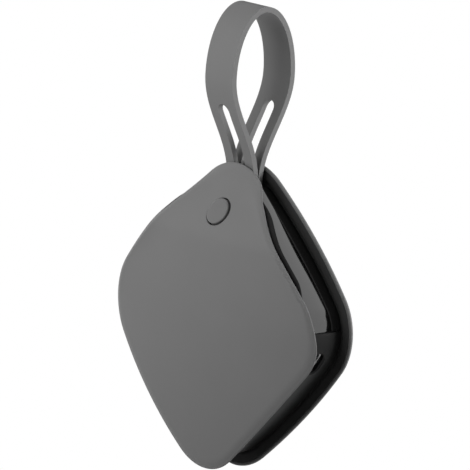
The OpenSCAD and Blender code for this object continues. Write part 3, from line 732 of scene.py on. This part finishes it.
def prism(name, flat, hub):
    """A flat outline in the front view, carried right through the body from front to rear."""
    rings = np.array([np.insert(flat, 1, y, axis=1) for y in (-body_reach, body_reach)])
    return shell(name, rings, np.insert(hub, 1, -body_reach), np.insert(hub, 1, body_reach))


def stadium(low, high, radius):
    """Upright slot between two heights, seen from the front: two half circles."""
    turn = np.radians(np.linspace(0, 180, 33))
    arc = np.stack([radius * np.cos(turn), radius * np.sin(turn)], -1)
    return np.concatenate([arc + [0, high - radius], -arc + [0, low + radius]])


post_hole = (-1.9, 1.9, 1.9)
long_slot = (3.4, 28.2, 2.7)
slot_margin = 0.0001
for low, high, radius in (post_hole, long_slot):
    slot_flat = stadium(post_height + low, post_height + high, radius - slot_margin)
    cut(strap, prism("slot_cutter", slot_flat, slot_flat.mean(0)))

foot_round = 3.0
beyond = 1.0
foot_centre = strap_width / 2 - foot_round
foot_side = strap_width / 2 + beyond
foot_hub = np.array([7.5, tab_level - 0.8])
bend = np.radians(np.linspace(0, 90, 9))
for side in (-1, 1):
    corner = np.stack([
        side * (foot_centre + foot_round * np.cos(bend)), tab_level + foot_round * (1 - np.sin(bend))], -1)
    corner = np.concatenate([corner, [
        [side * foot_centre, tab_level - beyond], [side * foot_side, tab_level - beyond],
        [side * foot_side, tab_level + foot_round]]])
    cut(strap, prism("corner_cutter", corner, foot_hub * [side, 1]))

strap.data.polygons.foreach_set("use_smooth", np.ones(len(strap.data.polygons), bool))
strap.data.set_sharp_from_angle(angle=soft_angle)
round_over = strap.modifiers.new("round_over", "BEVEL")
round_over.width = 0.0004
round_over.segments = 4
round_over.limit_method = "ANGLE"
round_over.angle_limit = soft_angle
round_over.harden_normals = True
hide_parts("wrist_strap")
silicone, silicone_shader = finish("silicone_grey", grey(0.41), grey(0.43), (0.42, 0.5), 2500.0, 0.2)
silicone_shader.inputs["Specular IOR Level"].default_value = 0.35
wear(strap, silicone)


# Inner parts: the chassis, the strap's post, the screws, the heaters with their pads, the
# cell and the electronics, all screwed, bonded or soldered out of sight. They keep the
# frame's own solids, and each gets the finish of its material.
chassis_black, _ = finish("chassis_black", grey(0.15), grey(0.18), (0.5, 0.6), 2600.0, 0.4)
plated, _ = finish("plated_steel", grey(0.68), grey(0.76), (0.22, 0.34), 1500.0, 0.1, metal=1.0)
rolled, _ = finish("rolled_aluminium", grey(0.72), grey(0.8), (0.3, 0.42), 1200.0, 0.1, metal=1.0)
foil, _ = finish("pouch_foil", grey(0.78), grey(0.84), (0.3, 0.45), 500.0, 0.4, metal=1.0)
film, _ = finish("polyimide_film", (0.5, 0.17, 0.025, 1), (0.42, 0.12, 0.018, 1), (0.2, 0.3), 900.0, 0.1)
foam, _ = finish(
    "closed_cell_foam", grey(0.83, 0.01), grey(0.88, 0.01), (0.85, 0.95), 2200.0, 1.0, depth=0.0001)
mask, _ = finish("solder_mask", (0.008, 0.09, 0.03, 1), (0.012, 0.12, 0.04, 1), (0.3, 0.4), 1500.0, 0.2)
epoxy, _ = finish("moulded_epoxy", grey(0.07), grey(0.1), (0.5, 0.6), 3000.0, 0.3)
ferrite, _ = finish("sintered_ferrite", grey(0.2), grey(0.24), (0.6, 0.75), 2500.0, 0.6)
ivory, _ = finish("socket_ivory", grey(0.86, 0.01), grey(0.9, 0.01), (0.4, 0.5), 2500.0, 0.2)
red, _ = finish("insulation_red", (0.45, 0.02, 0.012, 1), (0.38, 0.015, 0.01, 1), (0.4, 0.5), 2500.0, 0.2)
cream, _ = finish("insulation_ivory", grey(0.8, 0.015), grey(0.85, 0.015), (0.4, 0.5), 2500.0, 0.2)
for material, names in (
        (chassis_black, ["chassis"]),
        (plated, ["strap_post", "front_case_screws", "rear_case_screws", "board_screws", "charging_port"]),
        (rolled, ["front_heat_plate", "rear_heat_plate"]),
        (foil, ["battery_cell"]),
        (film, ["front_heater_film", "rear_heater_film"]),
        (foam, ["front_foam_pad", "rear_foam_pad"]),
        (mask, ["protection_board", "main_board", "button_board"]),
        (epoxy, ["port_tongue", "control_chip", "temperature_sensor", "switch_body"]),
        (ferrite, ["power_inductor"]),
        (ivory, ["battery_socket", "switch_plunger"]),
        (red, ["battery_leads"]),
        (cream, ["front_heater_leads", "rear_heater_leads"])):
    for name in names:
        wear(cad[name], material)


# Floor: a pale matte disc well below the hanging warmer. Seen by the camera or in gloss it
# is nearly white with the warmer's soft shadow on it, and it fades into the white surround
# towards its edge.
floor_reach = 1.2
floor_level = -0.45
floor_grey = 0.3
floor_glow = 0.75
fade_start = 0.3
fade_end = 1.1
turn = np.linspace(0, 2 * np.pi, 96, endpoint=False)
floor_points = np.stack([
    floor_reach * np.cos(turn), floor_reach * np.sin(turn), np.full(len(turn), floor_level)], -1)
floor = new_piece("floor", floor_points, [list(range(len(turn)))])
floor_paint = bpy.data.materials.new("floor_paint")
floor_paint.use_nodes = True
paint = floor_paint.node_tree.nodes
wires = floor_paint.node_tree.links
matte = paint["Principled BSDF"]
matte.inputs["Base Color"].default_value = (floor_grey, floor_grey, floor_grey, 1)
matte.inputs["Roughness"].default_value = 0.9
matte.inputs["Specular IOR Level"].default_value = 0.0
matte.inputs["Emission Color"].default_value = (1, 1, 1, 1)


def white_rays(nodes, links):
    """1 for camera, glossy and transmission rays, 0 for the rest, which light the object."""
    path = nodes.new("ShaderNodeLightPath")
    either = nodes.new("ShaderNodeMath")
    either.operation = "MAXIMUM"
    links.new(path.outputs["Is Camera Ray"], either.inputs[0])
    links.new(path.outputs["Is Glossy Ray"], either.inputs[1])
    every = nodes.new("ShaderNodeMath")
    every.operation = "MAXIMUM"
    links.new(either.outputs[0], every.inputs[0])
    links.new(path.outputs["Is Transmission Ray"], every.inputs[1])
    return every.outputs[0]


glow = paint.new("ShaderNodeMath")
glow.operation = "MULTIPLY"
glow.inputs[1].default_value = floor_glow
wires.new(white_rays(paint, wires), glow.inputs[0])
wires.new(glow.outputs[0], matte.inputs["Emission Strength"])
place = paint.new("ShaderNodeTexCoord")
flat = paint.new("ShaderNodeVectorMath")
flat.operation = "MULTIPLY"
flat.inputs[1].default_value = (1, 1, 0)
wires.new(place.outputs["Object"], flat.inputs[0])
span = paint.new("ShaderNodeVectorMath")
span.operation = "LENGTH"
wires.new(flat.outputs["Vector"], span.inputs[0])
fade = paint.new("ShaderNodeMapRange")
fade.interpolation_type = "SMOOTHSTEP"
fade.inputs["From Min"].default_value = fade_start
fade.inputs["From Max"].default_value = fade_end
wires.new(span.outputs["Value"], fade.inputs["Value"])
share = paint.new("ShaderNodeMath")
share.operation = "MULTIPLY"
wires.new(fade.outputs["Result"], share.inputs[0])
wires.new(white_rays(paint, wires), share.inputs[1])
surround = paint.new("ShaderNodeEmission")
surround.inputs["Color"].default_value = (1, 1, 1, 1)
blend = paint.new("ShaderNodeMixShader")
wires.new(share.outputs[0], blend.inputs["Fac"])
wires.new(matte.outputs["BSDF"], blend.inputs[1])
wires.new(surround.outputs["Emission"], blend.inputs[2])
wires.new(blend.outputs["Shader"], paint["Material Output"].inputs["Surface"])
wear(floor, floor_paint)


# Black card behind the warmer, as in a product studio: gloss parts that face the rear
# mirror it and stay dark. It is seen in reflections only and throws no shadow. Its edge is
# given in metres across and up, and was fitted to the light and dark bands in the trims.
card_back = 0.3
card_edge = np.array([
    [-0.6, 0.2], [0.02, 0.252], [0.07, 0.236], [0.1, 0.228], [0.125, 0.202], [0.15, 0.18],
    [0.28, 0.12], [0.382, -0.022], [0.53, -0.44], [-0.6, -0.44]])
card = new_piece("black_card", np.insert(card_edge, 1, card_back, axis=1), [list(range(len(card_edge)))])
card.visible_camera = False
card.visible_diffuse = False
card.visible_shadow = False
card_paint = bpy.data.materials.new("card_paint")
card_paint.use_nodes = True
card_shader = card_paint.node_tree.nodes["Principled BSDF"]
card_shader.inputs["Base Color"].default_value = (0.004, 0.004, 0.004, 1)
card_shader.inputs["Roughness"].default_value = 1.0
card_shader.inputs["Specular IOR Level"].default_value = 0.0
wear(card, card_paint)


# Surround: white for the camera, gloss and glass. For the rays that light the object it is
# dim, and rises from straight below to straight above.
surround_levels = ((0.0, 0.03), (0.45, 0.12), (0.7, 0.15), (1.0, 0.2))
world = bpy.data.worlds.new("studio")
bpy.context.scene.world = world
world.use_nodes = True
sky = world.node_tree.nodes
wires = world.node_tree.links
background = sky["Background"]
place = sky.new("ShaderNodeTexCoord")
split = sky.new("ShaderNodeSeparateXYZ")
wires.new(place.outputs["Generated"], split.inputs["Vector"])
ramp = sky.new("ShaderNodeValToRGB")
stops = ramp.color_ramp.elements
for number, (position, level) in enumerate(surround_levels):
    stop = stops[number] if number < 2 else stops.new(position)
    stop.position = position
    stop.color = (level, level, level, 1)
lift = sky.new("ShaderNodeMapRange")
lift.inputs["From Min"].default_value = -1
lift.inputs["From Max"].default_value = 1
wires.new(split.outputs["Z"], lift.inputs["Value"])
wires.new(lift.outputs["Result"], ramp.inputs["Fac"])
white = sky.new("ShaderNodeMix")
white.data_type = "RGBA"
white.inputs["B"].default_value = (1, 1, 1, 1)
wires.new(white_rays(sky, wires), white.inputs["Factor"])
wires.new(ramp.outputs["Color"], white.inputs["A"])
wires.new(white.outputs["Result"], background.inputs["Color"])
background.inputs["Strength"].default_value = 1.0


# Lamps: a close frontal key, and two larger fills behind the warmer for its rims and its
# back. None of them shows in the gloss parts.
def softbox(name, place, size, watts):
    """Square area lamp that faces the camera's aim."""
    data = bpy.data.lights.new(name, "AREA")
    data.size = size
    data.energy = watts
    lamp = bpy.data.objects.new(name, data)
    away = (aim - Vector(place)).normalized()
    lamp.matrix_world = Matrix.Translation(place) @ away.to_track_quat("-Z", "Y").to_matrix().to_4x4()
    lamp.visible_glossy = False
    bpy.context.scene.collection.objects.link(lamp)


softbox("key_softbox", (-0.06, -0.3, 0.055), 0.3, 1.15)
softbox("right_fill_softbox", (0.48, 0.5, 0.06), 0.4, 8.5)
softbox("left_fill_softbox", (-0.4, 0.6, 0.12), 0.4, 3.2)
bpy.context.scene.view_settings.view_transform = "Standard"
